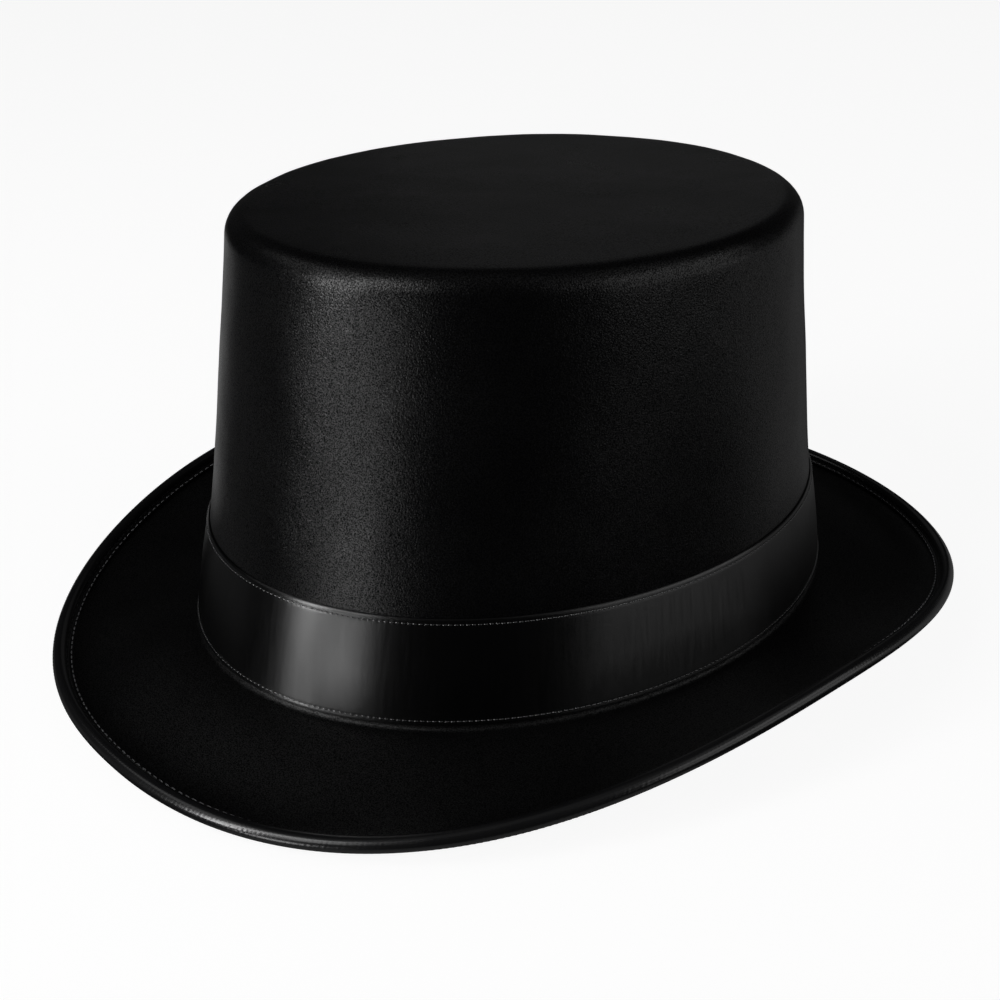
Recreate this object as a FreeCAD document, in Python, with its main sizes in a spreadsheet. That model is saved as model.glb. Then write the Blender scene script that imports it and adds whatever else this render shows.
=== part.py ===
import FreeCAD, Part
import math
import os

from FreeCAD import Vector
import Sketcher

# Felt top hat, in millimetres.
# +Z is up, -Y is the front and +X is the wearer's left.
# The origin is on the surface that the brim stands on, under the middle of the crown.
#
# Heights are given from the "foot": the level of the hat band's lower edge, where the
# crown wall meets the brim. Every oval of the crown, band, lining and sweatband is the
# crown wall's own oval at that height, grown or shrunk by a few tenths or millimetres.

doc = FreeCAD.newDocument("TopHat")

# ------------------------------------------------------------------ driving dimensions

DIMENSIONS = (
    ("foot_height", 12.77, "foot above the surface that the brim stands on"),
    ("crown_height", 118.0, "foot to the flat top"),
    ("foot_half_width", 85.3, "crown wall at the foot, across"),
    ("foot_half_length", 105.8, "crown wall at the foot, front to back"),
    ("tip_half_width", 76.4, "crown wall carried up to the top, across"),
    ("tip_half_length", 86.1, "crown wall carried up to the top, front to back"),
    ("waist_pinch", 0.7, "how far the wall draws in at half height"),
    ("felt_thickness", 2.0, "crown felt"),
    ("shoulder_radius", 6.0, "rounding between wall and top"),
    ("layer_gap", 0.1, "air between layers that lie on each other"),
    ("brim_half_width", 122.1, "middle of the edge bead, across"),
    ("brim_half_length", 146.2, "middle of the edge bead, front to back"),
    ("brim_squareness", 2.19, "exponent of the brim's plan oval, 2 being an ellipse"),
    ("brim_dip", 8.5, "edge bead below the foot at front and back"),
    ("brim_lift", 18.3, "rise of the edge bead from front to side"),
    ("root_slope", -6.0, "degrees, brim surface where it leaves the crown, front and back"),
    ("front_slope", 50.0, "degrees, brim surface at its edge, front and back"),
    ("side_slope", 56.0, "degrees, brim surface at its edge, sides"),
    ("curl_reach", 0.55, "how far the edge's curl is felt inwards, 1 being the whole width"),
    ("brim_thickness", 2.2, "brim felt"),
    ("brim_drop", 1.7, "foot down to the brim's top surface at the crown"),
    ("break_radius", 1.7, "hollow rounding between brim and collar"),
    ("collar_height", 13.0, "top of the brim's upstand, hidden by the band"),
    ("collar_thickness", 0.7, "skived upstand"),
    ("edge_setback", 1.5, "felt edge to the middle of the bead"),
    ("bead_radius", 2.1, "outside of the bound edge"),
    ("wire_radius", 1.0, "covered brim wire"),
    ("ribbon_thickness", 0.5, "binding ribbon"),
    ("binding_reach", 3.7, "binding's upper edge, inwards from the bead's middle"),
    ("binding_under_reach", 5.2, "binding's lower edge, inwards from the bead's middle"),
    ("band_height", 29.5, "satin hat band"),
    ("band_thickness", 0.6, "satin hat band, hemmed"),
    ("sweatband_height", 50.0, "free edge of the leather above the foot"),
    ("sweatband_thickness", 0.9, "leather"),
    ("sweatband_lean", 0.8, "free edge stands this far off the wall"),
    ("lining_thickness", 0.3, "satin lining"),
    ("lining_foot", 8.0, "lower edge of the lining, behind the sweatband"),
    ("lining_seam_drop", 8.0, "lining's seam, below the flat top"),
    ("lining_seam_gap", 0.15, "half the gap between the lining's two pieces at the seam"),
    ("reed_radius", 0.8, "piping at the sweatband's lower edge"),
    ("stitch_radius", 0.18, "sewing thread"),
    ("stitch_clearance", 0.05, "air between thread and cloth"),
    ("bow_clearance", 0.5, "back of a bow off what it lies on, clear of stitches"),
    ("bow_half_length", 33.0, "side bow, knot's middle to the end of a loop"),
    ("bow_margin", 1.5, "side bow's loops inside the band's edges"),
    ("bow_loop_thickness", 1.2, "a loop, two layers of ribbon"),
    ("bow_knot_half_width", 7.0, "side bow's knot"),
    ("bow_knot_thickness", 0.6, "side bow's knot"),
    ("inner_bow_low", 1.4, "inner bow's loops, lower edge"),
    ("inner_bow_high", 11.6, "inner bow's loops, upper edge"),
    ("inner_bow_half_length", 11.0, "inner bow, knot's middle to the end of a loop"),
    ("inner_loop_thickness", 0.8, "inner bow's loops"),
    ("inner_knot_margin", 0.5, "inner bow's knot beyond the loops' edges"),
    ("inner_knot_half_width", 2.0, "inner bow's knot"),
    ("inner_knot_thickness", 0.5, "inner bow's knot"),
)

sizes = doc.addObject("Spreadsheet::Sheet", "Sizes")
for row, (alias, value, meaning) in enumerate(DIMENSIONS, start=1):
    sizes.set(f"A{row}", alias)
    sizes.set(f"B{row}", str(value))
    sizes.set(f"C{row}", meaning)
    sizes.setAlias(f"B{row}", alias)
doc.recompute()


def size(alias):
    """The value of a driving dimension."""
    return float(sizes.get(alias))


FOOT = size("foot_height")
CROWN_EDGE = -(size("brim_drop") + size("brim_thickness"))
CROWN_EDGE_TEXT = "0 - Sizes.brim_drop - Sizes.brim_thickness"
LINING_FACE_TEXT = "0 - Sizes.felt_thickness - 1.5 * Sizes.layer_gap - Sizes.lining_thickness"
LEATHER_FACE_TEXT = f"{LINING_FACE_TEXT} - 1.5 * Sizes.layer_gap - Sizes.sweatband_thickness"
STITCH_LIFT = size("stitch_radius") + size("stitch_clearance")
BACK = math.pi / 2
RING_POINTS = 60

# -------------------------------------------------- ovals as sketches, bound to the sheet


def half_axis_text(axis, height, outset):
    """Expression for the wall's half width or half length at a height, grown by outset."""
    share = f"(({height}) / Sizes.crown_height)"
    foot = f"Sizes.foot_half_{axis}"
    straight = f"{foot} + (Sizes.tip_half_{axis} - {foot}) * {share}"
    return f"{straight} - 4 * Sizes.waist_pinch * {share} * (1 - {share}) + ({outset})"


def oval_sketch(body, name, height, outset):
    """An ellipse on the body's XY plane, raised to a height above the foot."""
    sketch = body.newObject("Sketcher::SketchObject", name)
    plane = [item for item in body.Origin.OriginFeatures if item.Role == "XY_Plane"][0]
    sketch.AttachmentSupport = [(plane, "")]
    sketch.MapMode = "FlatFace"
    long_half = size("foot_half_length")
    short_half = size("foot_half_width")
    ellipse = Part.Ellipse(Vector(0, long_half, 0), Vector(short_half, 0, 0), Vector(0, 0, 0))
    sketch.addGeometry(ellipse, False)
    sketch.exposeInternalGeometry(0)
    sketch.addConstraint(Sketcher.Constraint("Coincident", 0, 3, -1, 1))
    sketch.addConstraint(Sketcher.Constraint("Vertical", 1))
    length = sketch.addConstraint(Sketcher.Constraint("Distance", 1, 2 * long_half))
    width = sketch.addConstraint(Sketcher.Constraint("Distance", 2, 2 * short_half))
    sketch.renameConstraint(length, "oval_length")
    sketch.renameConstraint(width, "oval_width")
    length_text = half_axis_text("length", height, outset)
    width_text = half_axis_text("width", height, outset)
    sketch.setExpression("Constraints.oval_length", f"2 * ({length_text})")
    sketch.setExpression("Constraints.oval_width", f"2 * ({width_text})")
    sketch.setExpression(".AttachmentOffset.Base.z", f"Sizes.foot_height + ({height})")
    return sketch


def oval_loft(body, kind, name, sections):
    """A smooth loft through ovals, each given by its height above the foot and outset."""
    sketches = [
        oval_sketch(body, f"{name}_{number}", height, outset)
        for number, (height, outset) in enumerate(sections, start=1)
    ]
    loft = body.newObject(f"PartDesign::{kind}", name)
    loft.Profile = sketches[0]
    loft.Sections = sketches[1:]
    loft.Ruled = False
    return loft


def wall_sections(low, high, outsets):
    """Three ovals of a wall: at its low edge, half way and at its high edge."""
    middle = f"(({low}) + ({high})) / 2"
    return list(zip((low, middle, high), outsets))


def shoulder_sections(top, outset, radius):
    """Ovals up a quarter round, from the wall to the flat top."""
    sections = []
    for degrees in (0, 22.5, 45, 67.5, 90):
        below = round(1 - math.sin(math.radians(degrees)), 5)
        inwards = round(1 - math.cos(math.radians(degrees)), 5)
        sections.append((f"{top} - ({radius}) * {below}", f"{outset} - ({radius}) * {inwards}"))
    return sections


def oval_ring(label, low, high, inner, thickness):
    """A wall that follows the crown's oval; inner holds its outsets at three heights."""
    body = doc.addObject("PartDesign::Body", f"{label}_body")
    outer = [f"{outset} + {thickness}" for outset in inner]
    oval_loft(body, "AdditiveLoft", f"{label}_outside", wall_sections(low, high, outer))
    oval_loft(body, "SubtractiveLoft", f"{label}_inside", wall_sections(low, high, inner))
    body.Label = label
    return body


def oval_cap(label, low, top, outset, wall, radius):
    """A cap closed at the top: a wall and a rounded shoulder, hollowed out."""
    body = doc.addObject("PartDesign::Body", f"{label}_body")
    skins = (
        ("AdditiveLoft", "outside", top, outset, radius),
        ("SubtractiveLoft", "inside", f"{top} - {wall}", f"{outset} - {wall}",
         f"{radius} - {wall}"),
    )
    for kind, name, skin_top, skin_outset, skin_radius in skins:
        wall_top = f"{skin_top} - ({skin_radius})"
        wall_ovals = wall_sections(low, wall_top, [skin_outset] * 3)
        oval_loft(body, kind, f"{label}_{name}", wall_ovals)
        shoulder = shoulder_sections(skin_top, skin_outset, skin_radius)
        oval_loft(body, kind, f"{label}_{name}_shoulder", shoulder)
    body.Label = label


def ring_piece(label, low, high, inner, thickness, half_wide, side):
    """A stretch of an oval ring, on the wearer's right (-X) or at the back (+Y)."""
    box = doc.addObject("Part::Box", f"{label}_window")
    reach = "2 * Sizes.foot_half_length"
    if side == "right":
        length, width = reach, f"2 * {half_wide}"
        corner_x, corner_y = f"0 - {reach}", f"0 - {half_wide}"
    else:
        length, width = f"2 * {half_wide}", reach
        corner_x, corner_y = f"0 - {half_wide}", "0"
    box.setExpression("Length", length)
    box.setExpression("Width", width)
    box.setExpression("Height", f"({high}) - ({low})")
    box.setExpression("Placement.Base.x", corner_x)
    box.setExpression("Placement.Base.y", corner_y)
    box.setExpression("Placement.Base.z", f"Sizes.foot_height + ({low})")
    stretch = doc.addObject("Part::Common", f"{label}_stretch")
    stretch.Base = oval_ring(f"{label}_ring", low, high, inner, thickness)
    stretch.Tool = box
    stretch.Label = label


# ------------------------------------------- the same ovals as points, for doubly curved work


def wall_oval(phi, height, outset):
    """A point on the crown wall's oval at a height above the foot, grown by outset."""
    share = height / size("crown_height")
    pinch = 4 * size("waist_pinch") * share * (1 - share)
    halves = []
    for axis in ("width", "length"):
        foot = size(f"foot_half_{axis}")
        tip = size(f"tip_half_{axis}")
        halves.append(foot + (tip - foot) * share - pinch + outset)
    return Vector(halves[0] * math.cos(phi), halves[1] * math.sin(phi), FOOT + height)


def sideness(phi):
    """0 at front and back, 1 at the sides, changing fastest near the sides."""
    return math.cos(phi) ** 4


def bead_centre(phi):
    """Middle of the bound edge."""
    power = size("brim_squareness")
    across = math.cos(phi)
    along = math.sin(phi)
    reach = (abs(across) ** power + abs(along) ** power) ** (-1 / power)
    height = size("brim_lift") * sideness(phi) - size("brim_dip")
    return Vector(size("brim_half_width") * across * reach,
                  size("brim_half_length") * along * reach,
                  FOOT + height)


def leaning(outwards, degrees):
    """The direction outwards, tilted up."""
    turn = math.radians(degrees)
    return outwards * math.cos(turn) + Vector(0, 0, math.sin(turn))


def brim_radial(phi):
    """Ends and end directions of the felt's mid-surface along one radial line."""
    root = wall_oval(phi, 0, size("layer_gap") + size("collar_thickness")
                     + size("break_radius"))
    root.z = FOOT - size("brim_drop") - size("brim_thickness") / 2
    centre = bead_centre(phi)
    outwards = Vector(centre.x - root.x, centre.y - root.y, 0).normalize()
    side = sideness(phi)
    root_run = leaning(outwards, size("root_slope") * (1 - side))
    edge_run = leaning(outwards, size("front_slope") * (1 - side) + size("side_slope") * side)
    felt_edge = centre - edge_run * size("edge_setback")
    width = math.hypot(felt_edge.x - root.x, felt_edge.y - root.y)
    return root, root_run * width, felt_edge, edge_run * (width * size("curl_reach"))


def brim_point(phi, share, above):
    """A point of the felt: share is 0 at the crown and 1 at the edge, along a cubic."""
    root, root_pull, edge, edge_pull = brim_radial(phi)
    point = (root * (2 * share ** 3 - 3 * share ** 2 + 1)
             + root_pull * (share ** 3 - 2 * share ** 2 + share)
             + edge * (3 * share ** 2 - 2 * share ** 3)
             + edge_pull * (share ** 3 - share ** 2))
    run = (root * (6 * share ** 2 - 6 * share)
           + root_pull * (3 * share ** 2 - 4 * share + 1)
           + edge * (6 * share - 6 * share ** 2)
           + edge_pull * (3 * share ** 2 - 2 * share)).normalize()
    normal = (Vector(0, 0, 1) - run * run.z).normalize()
    return point + normal * above


def edge_point(phi, inwards, above):
    """A point near the edge, by its distance inwards from the bead's middle."""
    edge, edge_pull = brim_radial(phi)[2:]
    beyond = size("edge_setback") - inwards
    if beyond < 0:
        return brim_point(phi, 1 + beyond / edge_pull.Length, above)
    run = Vector(edge_pull).normalize()
    normal = (Vector(0, 0, 1) - run * run.z).normalize()
    return edge + run * beyond + normal * above


# ------------------------------------------------------ closed rings joined into a solid


def ring(place):
    """A closed smooth curve through place(phi), once round the hat."""
    points = [place(2 * math.pi * step / RING_POINTS) for step in range(RING_POINTS)]
    curve = Part.BSplineCurve()
    curve.interpolate(Points=points, PeriodicFlag=True)
    return Part.Wire(curve.toShape())


def ring_solid(*strips):
    """A solid ring whose skin is made of strips.

    Each strip is a list of place functions, lofted smoothly in that order; the last curve
    of a strip is the first of the next, and the last strip ends where the first began.
    """
    faces = []
    for strip in strips:
        curves = [ring(place) for place in strip]
        if len(curves) == 2:
            faces.append(Part.makeRuledSurface(curves[0].Edges[0], curves[1].Edges[0]))
        else:
            faces.extend(Part.makeLoft(curves, False, False, False).Faces)
    sewn = Part.Compound(faces)
    sewn.sewShape(0.001)
    solid = Part.Solid(sewn.Shells[0])
    if solid.Volume < 0:
        solid.reverse()
    return solid


def add_shape(label, shape):
    """Keep a shape made by the functions above as a named piece."""
    piece = doc.addObject("Part::Feature", label)
    piece.Shape = shape
    piece.Label = label


def add_round_ring(label, place_at):
    """A ring of round section; place_at(turn) is the curve at a turn round the section."""
    half = 4
    places = [place_at(math.pi * step / half) for step in range(2 * half + 1)]
    add_shape(label, ring_solid(places[:half + 1], places[half:]))


def spaced_places(place, count):
    """Points and directions at equal distances along place(phi), once round the hat."""
    fine = 3600
    points = [place(2 * math.pi * step / fine) for step in range(fine + 1)]
    run = [0.0]
    for before, after in zip(points, points[1:]):
        run.append(run[-1] + before.distanceToPoint(after))
    places = []
    index = 0
    for number in range(count):
        goal = run[-1] * (number + 0.5) / count
        while run[index + 1] < goal:
            index += 1
        places.append((points[index], (points[index + 1] - points[index]).normalize()))
    return places


def stitch(middle, along, length):
    """One stitch: a short straight length of thread."""
    return Part.makeCylinder(size("stitch_radius"), length, middle - along * (length / 2), along)


def stitch_row(label, place, count, length):
    """A row of equal stitches along place(phi), as separate solids of one piece."""
    stitches = [stitch(middle, along, length) for middle, along in spaced_places(place, count)]
    add_shape(label, Part.Compound(stitches))


# --------------------------------------------------------------------------- the pieces


def make_crown():
    """Wall and flat top, blocked from one felt, open at the bottom."""
    oval_cap("crown", CROWN_EDGE_TEXT, "Sizes.crown_height", "0",
             "Sizes.felt_thickness", "Sizes.shoulder_radius")


def make_brim():
    """Felt brim with a thin upstand that grips the foot of the crown."""
    collar_in = size("layer_gap")
    collar_out = collar_in + size("collar_thickness")
    radius = size("break_radius")
    half_felt = size("brim_thickness") / 2
    top = size("collar_height")
    hollow_top = radius - size("brim_drop")

    def hollow(degrees):
        turn = math.radians(degrees)
        outset = collar_out + radius * (1 - math.cos(turn))
        height = hollow_top - radius * math.sin(turn)

        def place(phi):
            point = wall_oval(phi, 0, outset)
            point.z = FOOT + height
            return point
        return place

    def felt(share, above):
        return lambda phi: brim_point(phi, share, above)

    def collar(height, outset):
        return lambda phi: wall_oval(phi, height, outset)

    steps = 10
    shares = [step / steps for step in range(steps + 1)]
    upper = [felt(share, half_felt) for share in shares]
    lower = [felt(share, -half_felt) for share in reversed(shares)]
    solid = ring_solid(
        [collar(top, collar_out), hollow(0)],
        [hollow(degrees) for degrees in (0, 30, 60)] + upper[:1],
        upper,
        [upper[-1], lower[0]],
        lower,
        [lower[-1], collar(CROWN_EDGE, collar_in)],
        [collar(height, collar_in) for height in (CROWN_EDGE, top / 2, top)],
        [collar(top, collar_in), collar(top, collar_out)],
    )
    add_shape("brim", solid)


def make_wire():
    """Covered steel wire that holds the brim's curve, inside the bead."""
    radius = size("wire_radius")

    def place_at(turn):
        return lambda phi: edge_point(phi, -radius * math.cos(turn), radius * math.sin(turn))

    add_round_ring("brim_wire", place_at)


def make_ferrule():
    """Short tube that joins the wire's two ends at the back."""
    length = 10.0
    clearance = 0.15
    wall = 0.25
    bore = size("wire_radius") + clearance
    start = bead_centre(BACK) - Vector(length / 2, 0, 0)
    outside = Part.makeCylinder(bore + wall, length, start, Vector(1, 0, 0))
    inside = Part.makeCylinder(bore, length, start, Vector(1, 0, 0))
    add_shape("wire_ferrule", outside.cut(inside))


def make_binding():
    """Ribbon folded over the brim's edge, tight round the wire, flat on both faces."""
    inner = size("brim_thickness") / 2 + size("layer_gap")
    outer = inner + size("ribbon_thickness")
    bead = size("bead_radius")
    bead_half_turn = 125
    lumen = bead - size("ribbon_thickness") - size("layer_gap")
    lumen_half_turn = 100
    flat_end = bead + 0.6
    groove = bead + 0.1
    groove_depth = 0.15
    lumen_flat_end = size("edge_setback") - 0.1

    def at(inwards, above):
        return lambda phi: edge_point(phi, inwards, above)

    def flat(reach, end, above):
        return [at(reach, above), at((reach + end) / 2, above), at(end, above)]

    def arc(radius, half_turn, steps):
        places = []
        for step in range(steps + 1):
            turn = math.radians(half_turn * (1 - 2 * step / steps))
            places.append(at(-radius * math.cos(turn), radius * math.sin(turn)))
        return places

    upper_reach = size("binding_reach")
    lower_reach = size("binding_under_reach")
    upper = flat(upper_reach, flat_end, outer)
    lower = flat(lower_reach, flat_end, -outer)[::-1]
    upper_groove = at(groove, outer - groove_depth)
    lower_groove = at(groove, groove_depth - outer)
    round_edge = arc(bead, bead_half_turn, 10)
    under_lower = flat(lower_reach, lumen_flat_end, -inner)
    under_upper = flat(upper_reach, lumen_flat_end, inner)[::-1]
    round_lumen = arc(lumen, lumen_half_turn, 8)[::-1]
    solid = ring_solid(
        upper,
        [upper[-1], upper_groove],
        [upper_groove, round_edge[0]],
        round_edge,
        [round_edge[-1], lower_groove],
        [lower_groove, lower[0]],
        lower,
        [lower[-1], under_lower[0]],
        under_lower,
        [under_lower[-1], round_lumen[0]],
        round_lumen,
        [round_lumen[-1], under_upper[0]],
        under_upper,
        [under_upper[-1], upper[0]],
    )
    add_shape("brim_binding", solid)


def make_binding_stitches():
    """Row of stitches just inside the binding's upper edge."""
    above = (size("brim_thickness") / 2 + size("layer_gap") + size("ribbon_thickness")
             + STITCH_LIFT)
    margin = 0.4
    inwards = size("binding_reach") - margin
    stitch_row("binding_stitches", lambda phi: edge_point(phi, inwards, above),
               count=330, length=1.7)


def make_band():
    """Satin band: over the collar below, on the bare crown above."""
    over_collar = "Sizes.collar_thickness + 2 * Sizes.layer_gap"
    return oval_ring("hat_band", "0", "Sizes.band_height",
                     (over_collar, over_collar, "Sizes.layer_gap"), "Sizes.band_thickness")


def band_outset(height):
    """Outer face of the band beyond the crown wall."""
    top = size("band_height")
    low = size("collar_thickness") + 2 * size("layer_gap")
    high = size("layer_gap")
    share = height / top
    bulge = 2 * (low - high) * share * (1 - share)
    return low + (high - low) * share + bulge + size("band_thickness")


def make_band_stitches():
    """Top-stitching just inside both edges of the band."""
    margin = 1.3
    for label, height in (("band_upper_stitches", size("band_height") - margin),
                          ("band_lower_stitches", margin)):
        outset = band_outset(height) + STITCH_LIFT

        def place(phi, height=height, outset=outset):
            return wall_oval(phi, height, outset)
        stitch_row(label, place, count=380, length=1.05)


def make_bow():
    """Flat bow that covers the band's join on the right side: two loops and a knot."""
    over_collar = "Sizes.collar_thickness + 2 * Sizes.layer_gap"
    over_band = [f"{outset} + Sizes.band_thickness + Sizes.bow_clearance"
                 for outset in (over_collar, over_collar, "Sizes.layer_gap")]
    over_loops = [f"{outset} + Sizes.bow_loop_thickness + Sizes.layer_gap"
                  for outset in over_band]
    ring_piece("band_bow_loops", "Sizes.bow_margin", "Sizes.band_height - Sizes.bow_margin",
               over_band, "Sizes.bow_loop_thickness", "Sizes.bow_half_length", "right")
    ring_piece("band_bow_knot", "0", "Sizes.band_height", over_loops,
               "Sizes.bow_knot_thickness", "Sizes.bow_knot_half_width", "right")


def sweatband_outset(height):
    """Inner, head-side face of the leather, as an outset from the crown wall."""
    foot = -(size("felt_thickness") + size("lining_thickness") + 3 * size("layer_gap")
             + size("sweatband_thickness"))
    share = (height - CROWN_EDGE) / (size("sweatband_height") - CROWN_EDGE)
    return foot - size("sweatband_lean") * share


def make_sweatband():
    """Leather strip round the inside, sewn at its lower edge, its upper edge free."""
    outsets = [f"{LEATHER_FACE_TEXT} - Sizes.sweatband_lean * {share}" for share in (0, 0.5, 1)]
    oval_ring("sweatband", CROWN_EDGE_TEXT, "Sizes.sweatband_height", outsets,
              "Sizes.sweatband_thickness")


def make_reed():
    """Round piping under the crown's edge, which the sweatband's lower edge is sewn to."""
    radius = size("reed_radius")
    height = CROWN_EDGE - radius - size("layer_gap")
    outset = -size("felt_thickness") / 2

    def place_at(turn):
        def place(phi):
            point = wall_oval(phi, 0, outset + radius * math.cos(turn))
            point.z = FOOT + height + radius * math.sin(turn)
            return point
        return place

    add_round_ring("sweatband_reed", place_at)


def make_sweatband_stitches():
    """Stitches along the leather's lower edge, and zigzag up its join at the back."""
    margin = 2.0
    edge = CROWN_EDGE + margin
    stitch_row("sweatband_stitches",
               lambda phi: wall_oval(phi, edge, sweatband_outset(edge) - STITCH_LIFT),
               count=180, length=2.2)
    count = 16
    length = 2.4
    low = size("inner_bow_high") + margin
    high = size("sweatband_height") - margin
    join = []
    for number in range(count):
        height = low + (high - low) * number / (count - 1)
        middle = wall_oval(BACK, height, sweatband_outset(height) - STITCH_LIFT)
        zigzag = Vector((-1) ** number, 0, 1).normalize()
        join.append(stitch(middle, zigzag, length))
    add_shape("sweatband_join_stitches", Part.Compound(join))


def make_sweatband_bow():
    """Small ribbon bow sewn over the foot of the leather's join, inside at the back."""
    loops = f"{LEATHER_FACE_TEXT} - Sizes.bow_clearance - Sizes.inner_loop_thickness"
    knot = f"{loops} - Sizes.inner_knot_thickness - Sizes.layer_gap"
    ring_piece("sweatband_bow_loops", "Sizes.inner_bow_low", "Sizes.inner_bow_high",
               (loops,) * 3, "Sizes.inner_loop_thickness", "Sizes.inner_bow_half_length",
               "back")
    ring_piece("sweatband_bow_knot", "Sizes.inner_bow_low - Sizes.inner_knot_margin",
               "Sizes.inner_bow_high + Sizes.inner_knot_margin", (knot,) * 3,
               "Sizes.inner_knot_thickness", "Sizes.inner_knot_half_width", "back")


def make_lining():
    """Satin lining: a side wall, and a tip piece seamed to it below the shoulder."""
    seam = "Sizes.crown_height - Sizes.lining_seam_drop"
    outset = "0 - Sizes.felt_thickness - 1.5 * Sizes.layer_gap"
    oval_ring("lining_side", "Sizes.lining_foot", f"{seam} - Sizes.lining_seam_gap",
              (LINING_FACE_TEXT,) * 3, "Sizes.lining_thickness")
    tip_top = "Sizes.crown_height - Sizes.felt_thickness - 1.5 * Sizes.layer_gap"
    oval_cap("lining_tip", f"{seam} + Sizes.lining_seam_gap", tip_top, outset,
             "Sizes.lining_thickness", "Sizes.shoulder_radius - Sizes.felt_thickness")
    face = -(size("felt_thickness") + 1.5 * size("layer_gap") + size("lining_thickness"))
    height = size("crown_height") - size("lining_seam_drop")
    stitch_row("lining_seam_stitches",
               lambda phi: wall_oval(phi, height, face - STITCH_LIFT), count=130, length=2.4)


make_crown()
make_brim()
make_wire()
make_ferrule()
make_binding()
make_binding_stitches()
make_band()
make_band_stitches()
make_bow()
make_sweatband()
make_reed()
make_sweatband_stitches()
make_sweatband_bow()
make_lining()
doc.recompute()

# ---------------------------------------------------------------- checks, then the files

NODES = (
    "crown", "brim", "brim_wire", "wire_ferrule", "brim_binding", "binding_stitches",
    "hat_band", "band_upper_stitches", "band_lower_stitches", "band_bow_loops",
    "band_bow_knot", "sweatband", "sweatband_reed", "sweatband_stitches",
    "sweatband_join_stitches", "sweatband_bow_loops", "sweatband_bow_knot", "lining_side",
    "lining_tip", "lining_seam_stitches",
)

for item in doc.Objects:
    if "Invalid" in item.State or "Error" in item.State:
        raise RuntimeError(f"{item.Label} failed: {item.State}")

pieces = {item.Label: item for item in doc.Objects if item.Label in NODES}
for name in NODES:
    shape = pieces[name].Shape
    if shape.isNull() or not shape.isValid() or not shape.Solids:
        raise RuntimeError(f"{name} has no valid solid")
    print(f"{name}: {len(shape.Solids)} solids, {shape.Volume:.1f} mm3")

os.makedirs("parts", exist_ok=True)
for name in NODES:
    pieces[name].Shape.exportStep(f"parts/{name}.step")
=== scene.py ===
from functools import lru_cache
import math

import bmesh
import bpy
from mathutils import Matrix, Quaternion, Vector, noise


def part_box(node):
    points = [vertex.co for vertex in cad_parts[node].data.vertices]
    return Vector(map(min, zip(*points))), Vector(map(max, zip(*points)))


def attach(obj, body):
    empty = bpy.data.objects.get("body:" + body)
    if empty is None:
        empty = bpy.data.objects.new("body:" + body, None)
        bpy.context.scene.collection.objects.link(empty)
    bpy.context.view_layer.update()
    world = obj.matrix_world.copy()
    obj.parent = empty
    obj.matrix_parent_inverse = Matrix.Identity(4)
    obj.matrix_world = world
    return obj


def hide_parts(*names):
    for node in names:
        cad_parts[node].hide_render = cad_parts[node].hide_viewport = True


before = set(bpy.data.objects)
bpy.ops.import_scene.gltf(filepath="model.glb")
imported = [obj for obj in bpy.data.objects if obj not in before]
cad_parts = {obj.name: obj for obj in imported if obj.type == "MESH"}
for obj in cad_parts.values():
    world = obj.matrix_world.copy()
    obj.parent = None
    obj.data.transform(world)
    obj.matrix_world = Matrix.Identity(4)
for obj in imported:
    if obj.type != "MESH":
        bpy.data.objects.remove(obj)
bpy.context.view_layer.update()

# Felt top hat. +Z is up, -Y is the front and +X is the wearer's left, in metres.
#
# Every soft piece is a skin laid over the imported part's own ovals. Heights count from the
# foot, the level of the hat band's lower edge. An outset is a distance outwards from the
# crown's wall. The brim's points are given by their share of the way from crown to edge, or
# by their distance inwards from the middle of the bound edge.

MM = 0.001
FULL_TURN = 2 * math.pi
BACK = math.pi / 2
UP = Vector((0, 0, 1))

# ------------------------------------------------------------------ sizes of the frame

BAND_LOW, BAND_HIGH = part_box("hat_band")
BINDING_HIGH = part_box("brim_binding")[1]
GAP = 0.1 * MM                      # air between layers that lie on each other
COLLAR = 0.7 * MM                   # the brim's upstand, under the band
BAND_THICKNESS = 0.6 * MM
BAND_PROUD = COLLAR + 2 * GAP + BAND_THICKNESS

FOOT = BAND_LOW.z
BAND_HEIGHT = BAND_HIGH.z - FOOT
CROWN_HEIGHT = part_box("crown")[1].z - FOOT
FOOT_HALVES = (BAND_HIGH.x - BAND_PROUD, BAND_HIGH.y - BAND_PROUD)
TIP_HALVES = (76.4 * MM, 86.1 * MM)
WAIST_PINCH = 0.7 * MM
FELT = 2.0 * MM
SHOULDER = 6.0 * MM

BEAD = 2.1 * MM
BRIM_HALVES = (BINDING_HIGH.x - BEAD, BINDING_HIGH.y - BEAD)
BRIM_SQUARENESS = 2.19
BRIM_DIP = 8.5 * MM
BRIM_LIFT = 18.3 * MM
BRIM_FELT = 2.2 * MM
BRIM_DROP = 1.7 * MM
BREAK = 1.7 * MM                    # hollow rounding between brim and upstand
ROOT_SLOPE = -6.0
FRONT_SLOPE = 50.0
SIDE_SLOPE = 56.0
CURL_REACH = 0.55
EDGE_SETBACK = 1.5 * MM
CROWN_EDGE = -(BRIM_DROP + BRIM_FELT)

LINING = 0.3 * MM
LEATHER = 0.9 * MM
LEATHER_LEAN = 0.8 * MM
LEATHER_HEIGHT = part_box("sweatband")[1].z - FOOT
THREAD = 0.18 * MM                  # thread radius
STITCH_ARCH = 0.12 * MM             # how far a stitch's middle stands above its ends

# ------------------------------------------------------------------ places on the hat


def wall_axes(height, outset=0.0):
    """Half width and half length of the crown's oval."""
    share = height / CROWN_HEIGHT
    pinch = 4 * WAIST_PINCH * share * (1 - share)
    return [foot + (tip - foot) * share - pinch + outset
            for foot, tip in zip(FOOT_HALVES, TIP_HALVES)]


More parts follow.
